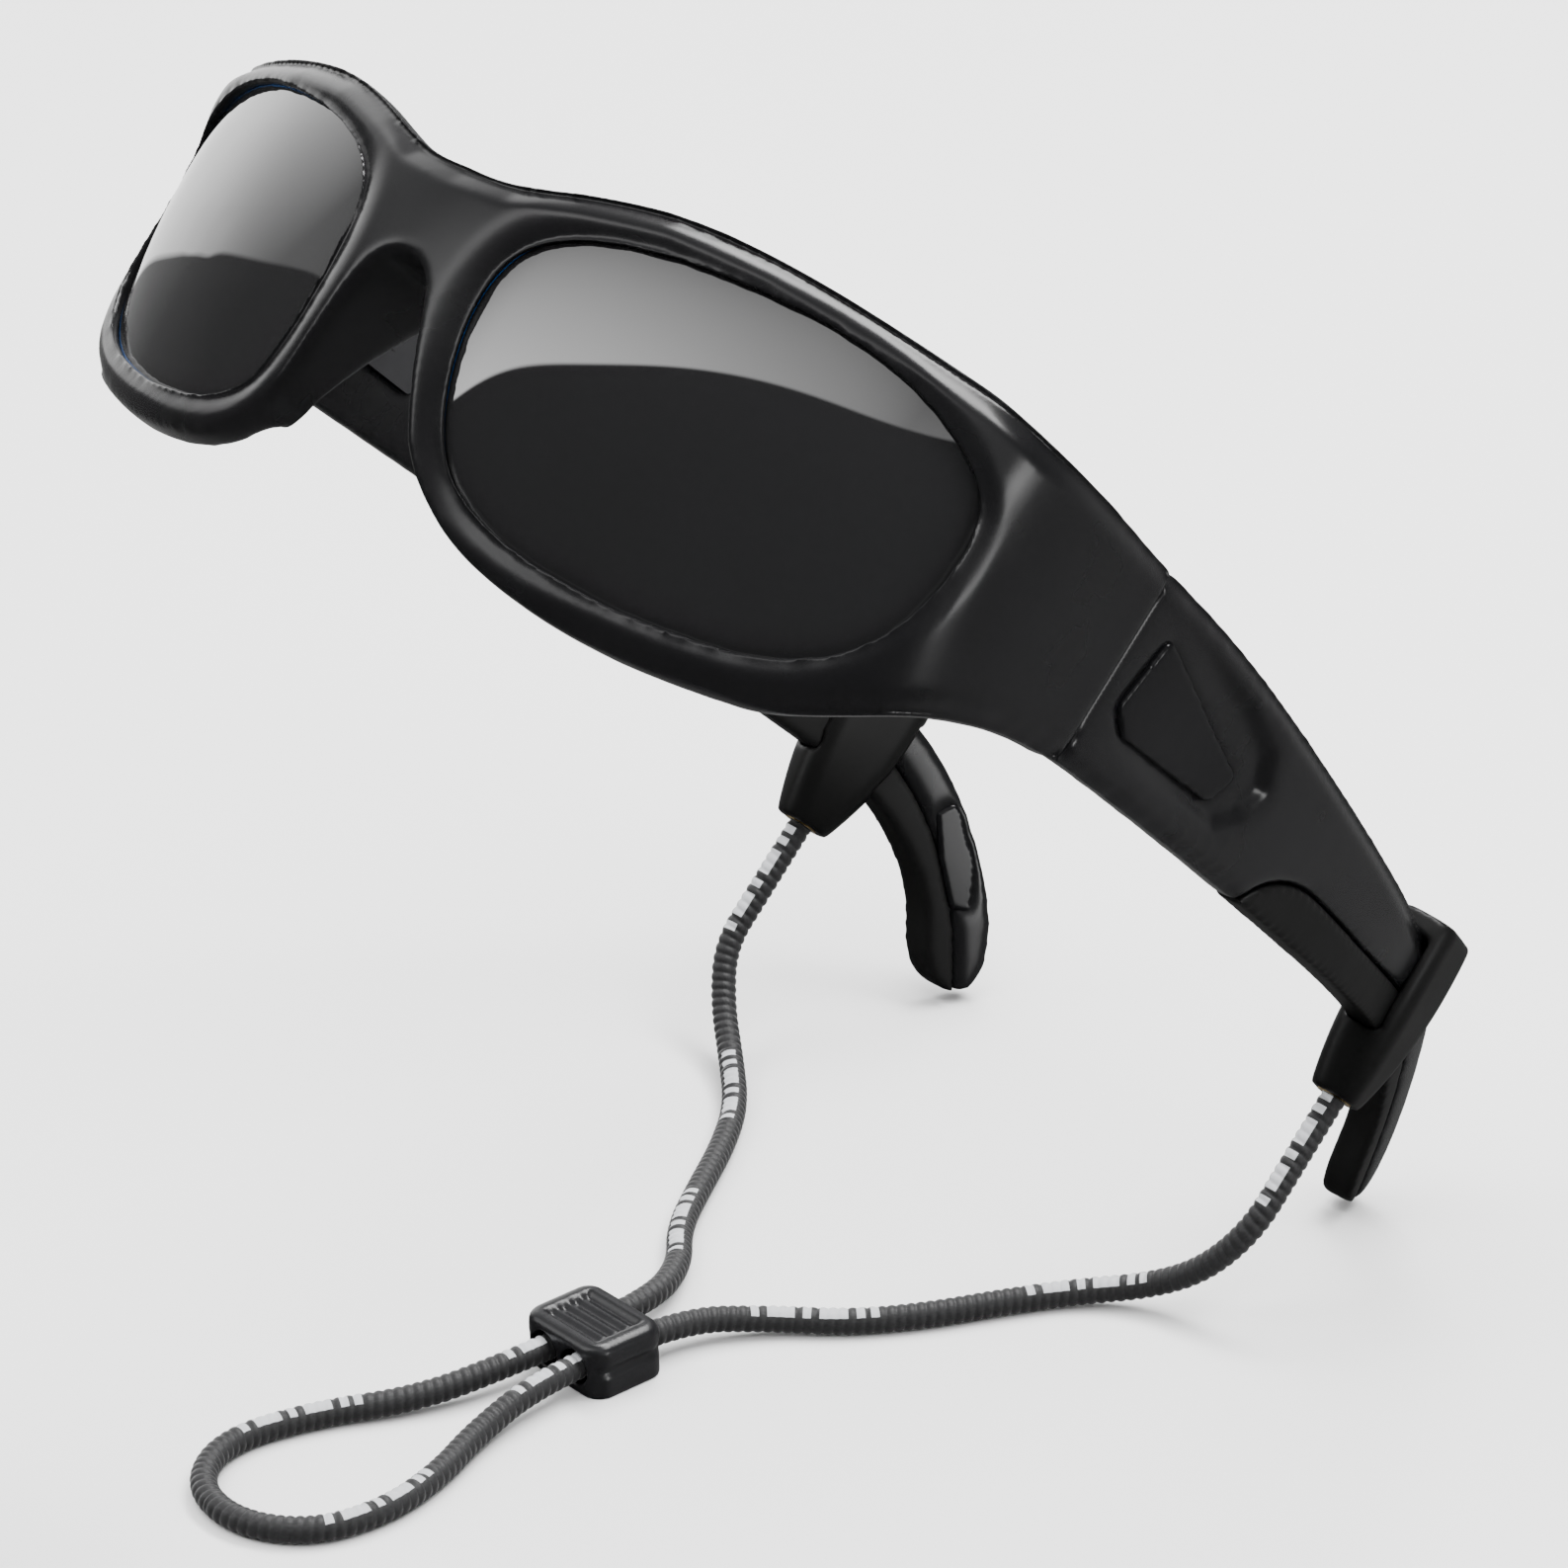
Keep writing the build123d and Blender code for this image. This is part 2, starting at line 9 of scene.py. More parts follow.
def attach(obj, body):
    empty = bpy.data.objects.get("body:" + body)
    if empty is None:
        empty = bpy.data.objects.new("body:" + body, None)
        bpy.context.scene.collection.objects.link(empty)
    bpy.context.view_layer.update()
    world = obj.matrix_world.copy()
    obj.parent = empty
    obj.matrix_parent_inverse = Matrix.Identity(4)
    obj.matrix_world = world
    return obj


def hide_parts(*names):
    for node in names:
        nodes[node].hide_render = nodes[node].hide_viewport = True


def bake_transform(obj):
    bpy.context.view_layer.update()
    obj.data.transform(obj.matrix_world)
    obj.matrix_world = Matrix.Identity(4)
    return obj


# Wraparound sport sunglasses on a retention cord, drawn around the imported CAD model.
#
# Lengths in this file's constants are millimetres. "Worn" coordinates are X towards the
# wearer's left, Y backwards and Z up from the front of the bridge; the scene itself is in the
# stored frame, leaned back about the nose saddle, in metres.

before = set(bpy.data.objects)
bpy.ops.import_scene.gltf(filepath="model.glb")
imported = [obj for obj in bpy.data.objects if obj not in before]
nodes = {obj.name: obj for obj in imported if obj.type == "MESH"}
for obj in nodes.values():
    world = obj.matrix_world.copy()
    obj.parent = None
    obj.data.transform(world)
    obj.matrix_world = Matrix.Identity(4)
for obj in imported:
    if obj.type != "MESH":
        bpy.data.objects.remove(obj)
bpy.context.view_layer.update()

MM = 0.001
LEAN = radians(45)
SADDLE = np.array([0.0, 7.0, -7.0])
FLOOR_Z = -128.5
SEAM_Y = 52.0
LENS_YAW = radians(20)


def to_stored(worn):
    """Stored points in metres from worn points in millimetres."""
    x, back, up = (np.atleast_2d(np.asarray(worn, float)) - SADDLE).T
    return np.stack([x, back * cos(LEAN) + up * sin(LEAN), up * cos(LEAN) - back * sin(LEAN)], 1) * MM


def to_worn(stored):
    """Worn points in millimetres from stored points in metres."""
    x, y, z = (np.atleast_2d(np.asarray(stored, float)) / MM).T
    return np.stack([x, y * cos(LEAN) - z * sin(LEAN), y * sin(LEAN) + z * cos(LEAN)], 1) + SADDLE


# ---- Camera, floor and lights -----------------------------------------------------------

CAMERA_AT = (525.88, -400.04, 274.91)
CAMERA_AZIMUTH = radians(49.76)
CAMERA_ELEVATION = radians(26.56)
CAMERA_ROLL = radians(-0.96)
CAMERA_LENS = 163.2


def aimed(azimuth, elevation, roll=0.0):
    """Rotation of a camera or lamp that looks back along a direction, which it is turned about by roll."""
    back = Vector((sin(azimuth) * cos(elevation), -cos(azimuth) * cos(elevation), sin(elevation)))
    right = Vector((cos(azimuth), sin(azimuth), 0))
    up = back.cross(right)
    rolled = right * cos(roll) + up * sin(roll)
    return Matrix((rolled, back.cross(rolled), back)).transposed().to_4x4()


def linked(name, data):
    """A new object in the scene."""
    made = bpy.data.objects.new(name, data)
    bpy.context.scene.collection.objects.link(made)
    return made


camera_data = bpy.data.cameras.new("camera")
camera_data.lens = CAMERA_LENS
camera_data.sensor_width = 36
camera_data.clip_start = 0.01
camera_data.clip_end = 20
camera = linked("camera", camera_data)
camera.matrix_world = Matrix.Translation(Vector(CAMERA_AT) * MM) @ aimed(
    CAMERA_AZIMUTH, CAMERA_ELEVATION, CAMERA_ROLL
)
bpy.context.scene.camera = camera


def lamp(name, centre, azimuth, elevation, distance, size, power, seen):
    """A soft rectangular light that faces a point, in metres and watts."""
    data = bpy.data.lights.new(name, "AREA")
    data.shape = "RECTANGLE"
    data.size, data.size_y = size
    data.energy = power
    lit = linked(name, data)
    turned = aimed(radians(azimuth), radians(elevation))
    lit.matrix_world = Matrix.Translation(Vector(centre)) @ turned @ Matrix.Translation((0, 0, distance))
    lit.visible_glossy = seen
    return lit


MIDDLE = (0.0, 0.03, -0.05)
lamp("light_top", MIDDLE, 0, 88, 1.3, (2.4, 2.4), 70, seen=False)
lamp("light_brow", MIDDLE, 178, 62, 1.1, (1.3, 0.3), 24, seen=True)
lamp("light_side", MIDDLE, 100, 6, 1.1, (0.26, 0.26), 2.0, seen=True)

# The room is a dark studio with two softboxes, as functions of the direction looked in. Each is
# bright where the direction lies further along the box's normal than its offset. There it has a
# crisp edge, and from the edge it fades. The side box shows where the direction's x is below
# SIDE_START, to the wearer's right, and the front box everywhere else.
ROOM_TONE = 0.02
FRONT_BOX = ((-0.358, 0.916, 0.182), -0.430)
SIDE_BOX = ((-0.026, 0.610, 0.792), 0.017)
SIDE_START = -0.74
SIDE_BLEND = 0.03
EDGE_BLEND = 0.004
FRONT_POWER = 5.5
FRONT_FADE = 0.42
SIDE_POWER = 2.2
BACK_POWER = 0.27  # a dim glow low behind the object, for the temples' outer sides


def add_node(tree, kind, inputs=(), **settings):
    """A shader node whose inputs are links or plain values."""
    made = tree.nodes.new("ShaderNode" + kind)
    for key, value in settings.items():
        setattr(made, key, value)
    for key, value in dict(inputs).items():
        if hasattr(value, "links"):
            tree.links.new(value, made.inputs[key])
        else:
            made.inputs[key].default_value = value
    return made


def make_world():
    """The studio's light as a function of direction."""
    world = bpy.data.worlds.new("studio")
    bpy.context.scene.world = world
    world.use_nodes = True
    tree = world.node_tree

    def maths(operation, first, second):
        return add_node(tree, "Math", {0: first, 1: second}, operation=operation).outputs[0]

    def times(first, second):
        return maths("MULTIPLY", first, second)

    def mapped(value, start, end, low, high):
        inputs = {"Value": value, "From Min": start, "From Max": end, "To Min": low, "To Max": high}
        return add_node(tree, "MapRange", inputs).outputs["Result"]

    direction = add_node(tree, "TexCoord").outputs["Generated"]
    x, y, z = add_node(tree, "SeparateXYZ", {"Vector": direction}).outputs

    def beyond(box):
        normal, offset = box
        dot = add_node(tree, "VectorMath", {0: direction, 1: normal}, operation="DOT_PRODUCT")
        return maths("SUBTRACT", dot.outputs["Value"], offset)

    front = beyond(FRONT_BOX)
    front_light = times(mapped(x, -0.5, 0.35, 1.0, 0.22), mapped(front, 0.0, FRONT_FADE, 1.0, 0.05))
    front_light = times(front_light, mapped(front, -EDGE_BLEND, EDGE_BLEND, 0.0, 1.0))
    front_light = times(front_light, mapped(z, 0.1, 0.4, 0.0, 1.0))
    side = beyond(SIDE_BOX)
    side_light = times(mapped(y, 0.22, -0.24, 1.0, 0.2), mapped(side, -EDGE_BLEND, EDGE_BLEND, 0.08, 1.0))
    is_side = mapped(x, SIDE_START - SIDE_BLEND, SIDE_START + SIDE_BLEND, 1.0, 0.0)
    is_front = maths("SUBTRACT", 1.0, is_side)
    boxes = maths(
        "ADD",
        times(times(side_light, is_side), SIDE_POWER),
        times(times(front_light, is_front), FRONT_POWER),
    )
    behind = times(mapped(y, 0.0, 0.5, 0.0, BACK_POWER), mapped(z, 0.2, -0.1, 0.0, 1.0))
    total = maths("ADD", maths("ADD", boxes, behind), ROOM_TONE)
    background = tree.nodes["Background"]
    background.inputs["Color"].default_value = (1, 1, 1, 1)
    tree.links.new(total, background.inputs["Strength"])


make_world()


# ---- Materials --------------------------------------------------------------------------


class Paint:
    """A principled material and shorthand for the nodes that feed it."""

    def __init__(self, name, colour, roughness, **sockets):
        self.material = bpy.data.materials.new(name)
        self.material.use_nodes = True
        self.tree = self.material.node_tree
        self.shader = self.tree.nodes["Principled BSDF"]
        self.shader.inputs["Base Color"].default_value = (*colour, 1)
        self.shader.inputs["Roughness"].default_value = roughness
        for socket, value in sockets.items():
            self.shader.inputs[socket.replace("_", " ")].default_value = value
        self.place = self.tree.nodes.new("ShaderNodeTexCoord").outputs["Object"]
        self.height = None

    def node(self, kind, inputs=(), **settings):
        return add_node(self.tree, kind, inputs, **settings)

    def maths(self, operation, a, b=0.0):
        return self.node("Math", {0: a, 1: b}, operation=operation).outputs[0]

    def noise(self, scale, detail=3.0, place=None):
        inputs = {"Vector": place or self.place, "Scale": scale, "Detail": detail}
        return self.node("TexNoise", inputs).outputs["Fac"]

    def cells(self, scale):
        return self.node("TexVoronoi", {"Vector": self.place, "Scale": scale}).outputs["Distance"]

    def ramp(self, value, low, high, start=0.0, end=1.0):
        inputs = {"Value": value, "From Min": start, "From Max": end, "To Min": low, "To Max": high}
        return self.node("MapRange", inputs).outputs["Result"]

    def uv(self):
        """The two parts of a piece's own map."""
        return self.node("SeparateXYZ", {"Vector": self.node("UVMap").outputs["UV"]}).outputs[:2]

    def mixed(self, share, first, second):
        made = self.node("Mix", {"Factor": share}, data_type="RGBA")
        for socket, value in ((made.inputs[6], first), (made.inputs[7], second)):
            if hasattr(value, "links"):
                self.tree.links.new(value, socket)
            else:
                socket.default_value = (*value, 1)
        return made.outputs[2]

    def colour(self, value):
        self.tree.links.new(value, self.shader.inputs["Base Color"])

    def rough(self, value):
        self.tree.links.new(value, self.shader.inputs["Roughness"])

    def bump(self, height, strength, depth):
        inputs = {"Height": height, "Strength": strength, "Distance": depth}
        if self.height is not None:
            inputs["Normal"] = self.height
        self.height = self.node("Bump", inputs).outputs["Normal"]
        self.tree.links.new(self.height, self.shader.inputs["Normal"])
        if "Coat Normal" in self.shader.inputs:
            self.tree.links.new(self.height, self.shader.inputs["Coat Normal"])


def worn_tone(paint, dark, light, scale):
    """Slight cloudy variation between two tones."""
    paint.colour(paint.mixed(paint.noise(scale, 4.0), dark, light))


def make_frame_plastic():
    paint = Paint("frame_plastic", (0.006, 0.006, 0.0065), 0.3, Specular_IOR_Level=0.4)
    worn_tone(paint, (0.004, 0.004, 0.0045), (0.0075, 0.0075, 0.008), 60)
    paint.rough(paint.ramp(paint.noise(90, 3.0), 0.22, 0.29, 0.3, 0.7))
    paint.bump(paint.noise(500, 2.0), 0.02, 0.00003)
    return paint.material


def make_lens_tint():
    paint = Paint("lens_tint", (0.012, 0.012, 0.0125), 0.02, Specular_IOR_Level=0.75, IOR=1.59,
                  Coat_Weight=0.6, Coat_Roughness=0.02)
    paint.rough(paint.ramp(paint.noise(40, 2.0), 0.015, 0.03))
    # A painted reflection: the coating's blue reflection is painted into the colour along the edge
    # of a lens that is seen at a slant. The map's first part runs from the lens's middle to its edge.
    from_middle, _ = paint.uv()
    edge = paint.ramp(from_middle, 0.0, 1.0, 0.96, 0.98)
    slant = paint.ramp(paint.node("LayerWeight", {"Blend": 0.5}).outputs["Facing"], 0.0, 1.0, 0.62, 0.74)
    tone = paint.mixed(paint.noise(25, 4.0), (0.0095, 0.0095, 0.010), (0.013, 0.013, 0.0135))
    # Painted blue reflection, mixed in where the edge and slant masks meet.
    paint.colour(paint.mixed(paint.maths("MULTIPLY", edge, slant), tone, (0.02, 0.2, 0.7)))
    return paint.material


def make_rubber(name, tone, roughness, grain):
    paint = Paint(name, (tone, tone, tone), roughness, Specular_IOR_Level=0.28)
    worn_tone(paint, (tone * 0.8,) * 3, (tone * 1.25,) * 3, 90)
    paint.rough(paint.ramp(paint.noise(150, 3.0), roughness - 0.04, roughness + 0.05))
    paint.bump(paint.cells(grain), 0.1, 0.00003)
    return paint.material


def make_badge_gloss():
    paint = Paint("badge_gloss", (0.006, 0.006, 0.007), 0.22, Specular_IOR_Level=0.3)
    worn_tone(paint, (0.0025, 0.0025, 0.003), (0.005, 0.005, 0.0055), 60)
    paint.rough(paint.ramp(paint.noise(60, 2.0), 0.20, 0.26))
    return paint.material


def make_metal(name, tone, roughness):
    paint = Paint(name, tone, roughness, Metallic=1.0)
    worn_tone(paint, tuple(c * 0.85 for c in tone), tone, 300)
    paint.rough(paint.ramp(paint.noise(900, 4.0), roughness - 0.08, roughness + 0.08))
    paint.bump(paint.noise(1500, 2.0), 0.08, 0.00004)
    return paint.material


CORD_R = 1.5
RIB_PITCH = 1.1
MARK_PITCH = 31.0  # one group of woven marks along the cord
MARK_HALF_WIDTH = 0.10  # of a turn round the cord
MARK_BARS = ((0.10, 0.13), (0.15, 0.18), (0.21, 0.31), (0.34, 0.37), (0.40, 0.50), (0.53, 0.56))


def make_cord_fabric():
    """Ribbed black braid with plain light bars woven into one side of it."""
    paint = Paint("cord_fabric", (0.02, 0.02, 0.021), 0.55, Sheen_Weight=0.25, Sheen_Roughness=0.35)
    along, around = paint.uv()
    cycle = paint.maths("FRACT", paint.maths("DIVIDE", along, MARK_PITCH))
    marks = None
    for start, end in MARK_BARS:
        after, before = paint.maths("GREATER_THAN", cycle, start), paint.maths("LESS_THAN", cycle, end)
        bar = paint.maths("MULTIPLY", after, before)
        marks = bar if marks is None else paint.maths("ADD", marks, bar)
    off_top = paint.maths("ABSOLUTE", paint.maths("SUBTRACT", around, 0.5))
    near_side = paint.maths("LESS_THAN", off_top, MARK_HALF_WIDTH)
    marks = paint.maths("MULTIPLY", marks, near_side)
    threads = {"X": paint.maths("MULTIPLY", along, 2.0), "Y": paint.maths("MULTIPLY", around, 40.0)}
    yarn = paint.noise(1.0, 2.0, paint.node("CombineXYZ", threads).outputs[0])
    base = paint.mixed(yarn, (0.006, 0.006, 0.0065), (0.022, 0.022, 0.023))
    paint.colour(paint.mixed(marks, base, (0.5, 0.51, 0.53)))
    paint.bump(yarn, 0.5, 0.00008)
    return paint.material


def make_slider_plastic():
    paint = Paint("slider_plastic", (0.008, 0.008, 0.009), 0.3)
    worn_tone(paint, (0.006, 0.006, 0.007), (0.011, 0.011, 0.012), 150)
    paint.rough(paint.ramp(paint.noise(600, 3.0), 0.24, 0.38))
    paint.bump(paint.cells(3000), 0.2, 0.00004)
    return paint.material


def make_floor_paper():
    paint = Paint("floor_paper", (0.9, 0.9, 0.9), 0.8, Specular_IOR_Level=0.1)
    paint.colour(paint.mixed(paint.noise(3.0), (0.89, 0.89, 0.89), (0.91, 0.91, 0.91)))
    return paint.material


frame_plastic = make_frame_plastic()
lens_tint = make_lens_tint()
grip_rubber = make_rubber("grip_rubber", 0.004, 0.48, 2200)
sleeve_rubber = make_rubber("sleeve_rubber", 0.003, 0.42, 2400)
badge_gloss = make_badge_gloss()
hinge_metal = make_metal("hinge_metal", (0.2, 0.2, 0.21), 0.4)
screw_steel = make_metal("screw_steel", (0.6, 0.6, 0.62), 0.28)
ferrule_brass = make_metal("ferrule_brass", (0.62, 0.47, 0.24), 0.3)
cord_fabric = make_cord_fabric()
slider_plastic = make_slider_plastic()


# ---- Meshes -----------------------------------------------------------------------------


def mesh_piece(name, points, faces, material):
    """A smooth-shaded piece from points in metres."""
    mesh = bpy.data.meshes.new(name)
    mesh.from_pydata([tuple(p) for p in points], [], [tuple(f) for f in faces])
    mesh.validate()
    mesh.update()
    mesh.polygons.foreach_set("use_smooth", [True] * len(mesh.polygons))
    mesh.materials.append(material)
    return linked(name, mesh)


def coordinates(mesh):
    flat = np.empty(len(mesh.vertices) * 3)
    mesh.vertices.foreach_get("co", flat)
    return flat.reshape(-1, 3)


def normals(mesh):
    flat = np.empty(len(mesh.vertices) * 3)
    mesh.vertices.foreach_get("normal", flat)
    return flat.reshape(-1, 3)


def relax(points, edges, rounds, share=0.5):
    """Points moved part of the way to the mean of their neighbours, several times over."""
    count = np.bincount(edges.ravel(), minlength=len(points))[:, None]
    for _ in range(rounds):
        total = np.stack(
            [
                np.bincount(edges[:, 0], points[edges[:, 1], k], len(points))
                + np.bincount(edges[:, 1], points[edges[:, 0], k], len(points))
                for k in range(3)
            ],
            1,
        )
        points = points + share * (total / np.maximum(count, 1) - points)
    return points


def seam_shares(points):
    """How freely worn points may move: only within the seam's plane close to it."""
    off = np.abs(points[:, 1] - SEAM_Y)
    free = np.clip((off - 0.6) / 1.2, 0, 1)
    sideways = 0.25 + 0.75 * np.clip(off / 6, 0, 1)
    return 0.5 * np.stack([sideways, free, sideways], 1)


def moulded(node, body, material, voxel, rounds, shape=None, after=0, extra=0):
    """A copy of a CAD node with its edges rounded as in a mould, which then stands for it.

    Rounds, extra and after say how often its points are evened out: at first, again with the
    seam kept straight, and after shape has carved it.
    """
    source = linked("moulded_" + node, nodes[node].data.copy())
    remesh = source.modifiers.new("remesh", "REMESH")
    remesh.mode = "VOXEL"
    remesh.voxel_size = voxel * MM
    bpy.context.view_layer.update()
    evaluated = source.evaluated_get(bpy.context.evaluated_depsgraph_get())
    mesh = bpy.data.meshes.new_from_object(evaluated)
    source.modifiers.clear()
    edges = np.empty(len(mesh.edges) * 2, int)
    mesh.edges.foreach_get("vertices", edges)
    edges = edges.reshape(-1, 2)
    points = relax(coordinates(mesh), edges, rounds)
    if extra:
        worn = to_worn(points)
        points = to_stored(relax(worn, edges, extra, seam_shares(worn)))
    if shape is not None:
        mesh.vertices.foreach_set("co", points.ravel())
        mesh.update()
        facing = to_worn(normals(mesh)) - to_worn([(0, 0, 0)])
        facing /= np.maximum(np.linalg.norm(facing, axis=1, keepdims=True), 1e-9)
        points = to_stored(shape(to_worn(points), facing))
        points = relax(points, edges, after)
    mesh.vertices.foreach_set("co", points.ravel())
    mesh.update()
    mesh.polygons.foreach_set("use_smooth", [True] * len(mesh.polygons))
    mesh.materials.clear()
    mesh.materials.append(material)
    source.data = mesh
    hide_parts(node)
    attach(source, body)
    return source


# ---- Floor ------------------------------------------------------------------------------

FLOOR_HALF = 3.0
floor = mesh_piece(
    "floor",
    [(x * FLOOR_HALF, y * FLOOR_HALF, FLOOR_Z * MM) for x, y in ((-1, -1), (1, -1), (1, 1), (-1, 1))],
    [(0, 1, 2, 3)],
    make_floor_paper(),
)
floor.visible_glossy = False


# ---- Cord -------------------------------------------------------------------------------

SLEEVE_AT = (44.7, 141.5)
SLEEVE_BOTTOM = -20.9
LEAD_END = -30.8
DROP = 7.0
CORD_LIE = FLOOR_Z + CORD_R
BORE_Z = FLOOR_Z + 3.0
SLIDER_X, SLIDER_Y = 3.6, 13.5
BORE_X = 2.6
SLIDE_RUN = 10.0
LEFT_RUN = [
    (41.0, 69.8, -122.2),
    (35.4, 66.8, -125.6),
    (29.4, 61.6, CORD_LIE + 0.1),
    (25.4, 54.2, CORD_LIE),
    (22.0, 46.2, CORD_LIE),
    (17.4, 38.6, CORD_LIE),
    (11.2, 32.3, CORD_LIE + 0.3),
]
RIGHT_RUN = [
    (-41.6, 70.2, -122.4),
    (-36.0, 66.6, -125.8),
    (-28.4, 61.0, CORD_LIE),
    (-21.8, 53.2, CORD_LIE),
    (-16.4, 45.2, CORD_LIE),
    (-10.9, 37.6, CORD_LIE),
    (-4.2, 32.2, CORD_LIE + 0.3),
]
# The halves meet in the middle of the loop's furthest run.
LOOP_APEX = (0.45, -35.55, CORD_LIE)
LEFT_LOOP = [
    (8.2, -6.6, CORD_LIE + 0.3),
    (11.6, -14.2, CORD_LIE),
    (13.6, -22.7, CORD_LIE),
    (11.9, -31.4, CORD_LIE),
    (4.8, -36.2, CORD_LIE),
    LOOP_APEX,
]
RIGHT_LOOP = [
    (-1.6, -7.0, CORD_LIE + 0.3),
    (-7.0, -17.0, CORD_LIE),
    (-9.0, -27.6, CORD_LIE),
    (-3.9, -34.9, CORD_LIE),
    LOOP_APEX,
]


def cord_half_points(side, run, loop):
    """One half of the cord's control points, in metres, from its sleeve to the loop's far end."""
    heights = (SLEEVE_BOTTOM, LEAD_END, LEAD_END - DROP)
    lead = to_stored([(side * SLEEVE_AT[0], SLEEVE_AT[1], z) for z in heights])
    bore = SLIDER_X + side * BORE_X
    through = [(bore, SLIDER_Y + SLIDE_RUN, BORE_Z), (bore, SLIDER_Y - SLIDE_RUN, BORE_Z)]
    return np.vstack([lead, np.array(run + through + loop) * MM])


def nurbs_line(name, points):
    """Closely spaced points of the smooth curve that a row of control points makes."""
    curve = bpy.data.curves.new(name, "CURVE")
    curve.dimensions = "3D"
    curve.resolution_u = 40
    spline = curve.splines.new("NURBS")
    spline.points.add(len(points) - 1)
    for control, point in zip(spline.points, points):
        control.co = (*point, 1)
    spline.order_u = 3
    spline.use_endpoint_u = True
    holder = linked(name, curve)
    line = coordinates(bpy.data.meshes.new_from_object(holder))
    bpy.data.objects.remove(holder)
    return line


def evenly(line, step):
    """Points spaced evenly along a line, and the line's length."""
    runs = np.linalg.norm(np.diff(line, axis=0), axis=1)
    line = line[np.append(True, runs > 1e-9)]
    reach = np.append(0, np.cumsum(np.linalg.norm(np.diff(line, axis=0), axis=1)))
    stations = np.linspace(0, reach[-1], max(2, round(reach[-1] / step)))
    return np.stack([np.interp(stations, reach, line[:, k]) for k in range(3)], 1), stations


def along_directions(points):
    """Unit directions along a line, evened out a little."""
    directions = np.gradient(points, axis=0)
    for _ in range(6):
        directions[1:-1] = (directions[:-2] + directions[1:-1] * 2 + directions[2:]) / 4
    return directions / np.linalg.norm(directions, axis=1, keepdims=True)


def ribbed_tube(name, line, offset, upward, sides=24, step=RIB_PITCH / 8 * MM):
    """A cord's tube with slightly slanting ribs, and a map of length along and turn around."""
    points, stations = evenly(line, step)
    directions = along_directions(points)
    across = np.cross(directions, upward)
    across /= np.linalg.norm(across, axis=1, keepdims=True)
    over = np.cross(across, directions)
    turn = np.arange(sides) / sides
    along = stations[:, None] / MM + offset
    rib = np.abs(np.sin(pi * (along / RIB_PITCH + turn[None, :]))) ** 0.8
    radius = (CORD_R - 0.2 * (1 - rib)) * MM
    # A turn of one half faces up.
    angle = 2 * pi * (turn - 0.5)
    ring = across[:, None] * np.sin(angle)[None, :, None] + over[:, None] * np.cos(angle)[None, :, None]
    verts = (points[:, None] + ring * radius[..., None]).reshape(-1, 3)
    rows = len(points)
    faces = []
    for i in range(rows - 1):
        for k in range(sides):
            m = (k + 1) % sides
            faces.append((i * sides + k, (i + 1) * sides + k, (i + 1) * sides + m, i * sides + m))
    faces.append(tuple(range(sides)))
    faces.append(tuple(reversed(range((rows - 1) * sides, rows * sides))))
    piece = mesh_piece(name, verts, faces, cord_fabric)
    layer = piece.data.uv_layers.new(name="UVMap")
    lengths = stations / MM + offset
    for polygon in piece.data.polygons:
        ks = [piece.data.loops[i].vertex_index % sides for i in polygon.loop_indices]
        wraps = max(ks) - min(ks) > 1 and len(ks) == 4
        for i, k in zip(polygon.loop_indices, ks):
            row = piece.data.loops[i].vertex_index // sides
            layer.data[i].uv = (lengths[row], 1.0 if wraps and k == 0 else k / sides)
    return piece, points


def make_cord_half(side, end, run, loop):
    """The cord from one temple's sleeve, through the slider, to the loop's far end."""
    name = "cord_half_" + end
    control = cord_half_points(side, run, loop)
    line = nurbs_line(name + "_line", control)
    total = np.linalg.norm(np.diff(line, axis=0), axis=1).sum() / MM
    # The ribs and marks of both halves count from where they meet.
    flip = -total if side > 0 else -total + RIB_PITCH / 2
    piece, points = ribbed_tube(name, line, flip, np.array([0.0, -0.35, 1.0]))
    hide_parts("cord_lead_" + end, "cord_strand_" + end, "cord_loop")
    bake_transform(piece)
    print(name, "length", round(total, 1))
    return piece


make_cord_half(1, "left", LEFT_RUN, LEFT_LOOP)
make_cord_half(-1, "right", RIGHT_RUN, RIGHT_LOOP)


# ---- Lenses -----------------------------------------------------------------------------

LENS_RING = [
    (10.7, -2.9), (12.4, 0.7), (16.4, 3.7), (23.2, 6.1), (34.0, 7.8), (45.6, 8.4), (56.2, 7.3),
    (63.8, 4.3), (68.0, 0.6), (69.0, -4.1), (68.3, -10.4), (66.3, -15.8), (62.7, -20.1), (57.0, -23.5),
    (49.2, -25.5), (40.4, -26.6), (29.8, -26.6), (22.5, -25.4), (17.3, -22.9), (13.6, -18.3), (11.1, -11.6),
]
LENS_MIDDLE = (40.0, -9.5)
LENS_BODY = 1.9  # thickness


def closed_curve(corners, count):
    """Evenly counted points of the smooth closed curve through a ring of corners."""
    ring = np.array(corners, float)
    knots = np.append(0, np.cumsum(np.linalg.norm(np.roll(ring, -1, 0) - ring, axis=1)))
    n = len(ring)
    spans = np.diff(knots)
    matrix = np.zeros((n, n))
    right = np.zeros((n, 2))
    for i in range(n):
        before, after = spans[i - 1], spans[i]
        matrix[i, i - 1] += before
        matrix[i, i] += 2 * (before + after)
        matrix[i, (i + 1) % n] += after
        right[i] = 6 * ((ring[(i + 1) % n] - ring[i]) / after - (ring[i] - ring[i - 1]) / before)
    bend = np.linalg.solve(matrix, right)
    stations = np.linspace(0, knots[-1], count, endpoint=False)
    which = np.clip(np.searchsorted(knots, stations, side="right") - 1, 0, n - 1)
    span = spans[which][:, None]
    a = ((knots[which + 1] - stations)[:, None]) / span
    b = 1 - a
    here, there = ring[which], ring[(which + 1) % n]
    bowed = (a**3 - a) * bend[which] + (b**3 - b) * bend[(which + 1) % n]
    return a * here + b * there + bowed * span**2 / 6


